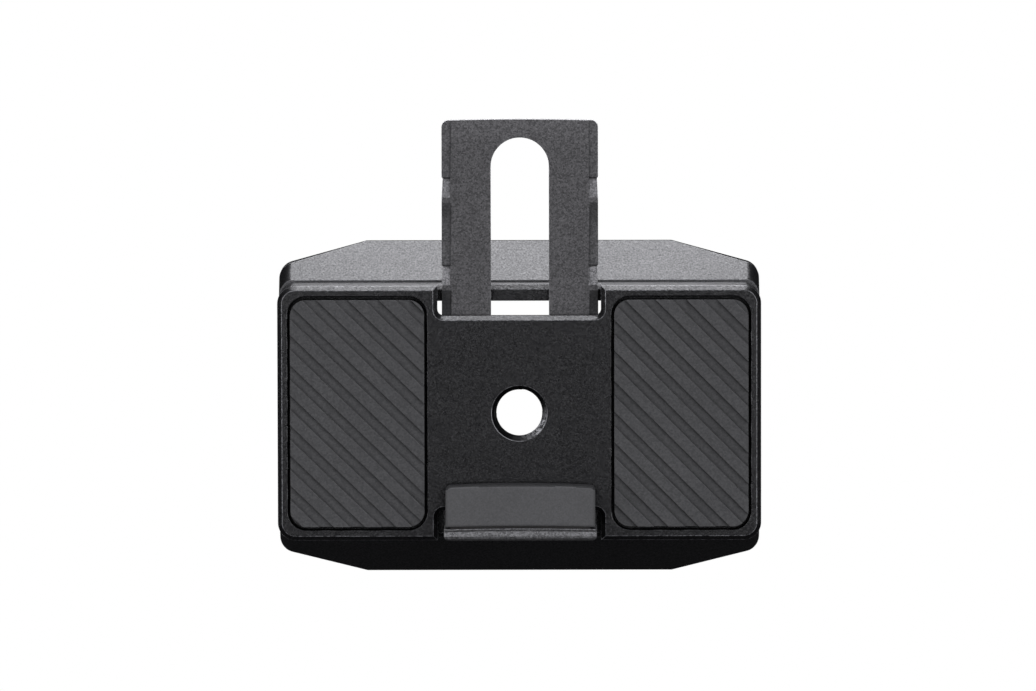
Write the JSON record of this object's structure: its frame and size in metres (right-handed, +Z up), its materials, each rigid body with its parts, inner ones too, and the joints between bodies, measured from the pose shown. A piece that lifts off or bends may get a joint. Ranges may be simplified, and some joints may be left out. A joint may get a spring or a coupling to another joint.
{
  "type": "camera mounting block",
  "caption": "Low camera riser block with a 38 mm dovetail foot, ribbed rubber pads, a tapped camera-screw hole and a sliding slotted anti-twist guard.",
  "frame": {"origin": "centre of the whole footprint, from the flange's front edge to the tongue's far end, on the plane of the flat bottom face. The camera-screw hole's axis is at x 0, y -0.007185", "axes": "+Z up out of the camera deck; X along the dovetail; +Y across it, towards the open end of the guard's tongue, so the guard slides out along -Y"},
  "size_m": [0.055, 0.0524, 0.0166],
  "materials": {
    "anodised_block": "black anodised over a fine bead blast",
    "anodised_plate": "black anodised over a fine bead blast",
    "pad_rubber": "matt, fine moulded grain",
    "cushion_rubber": "smooth satin",
    "guard_nylon": "coarse spark-eroded moulding texture",
    "adhesive_film": "matt tape",
    "spring_steel": "bright rolled strip",
    "screw_steel": "black oxide"
  },
  "bodies": {
    "block": {"dovetail_plate": "anodised_plate", "deck_block": "anodised_block", "left_grip_pad": "pad_rubber", "right_grip_pad": "pad_rubber", "left_pad_adhesive": "adhesive_film", "right_pad_adhesive": "adhesive_film", "left_detent_spring": "spring_steel", "right_detent_spring": "spring_steel", "rear_right_screw": "screw_steel", "rear_left_screw": "screw_steel", "front_left_screw": "screw_steel", "front_right_screw": "screw_steel"},
    "guard": {"anti_twist_guard": "guard_nylon", "guard_cushion": "cushion_rubber", "cushion_adhesive": "adhesive_film"}
  },
  "joints": [
    {"name": "guard_slide", "type": "slide", "parent": "block", "child": "guard", "axis": [0, -1, 0], "range_m": [0, 0.02], "deforming": ["left_detent_spring", "right_detent_spring"]}
  ]
}
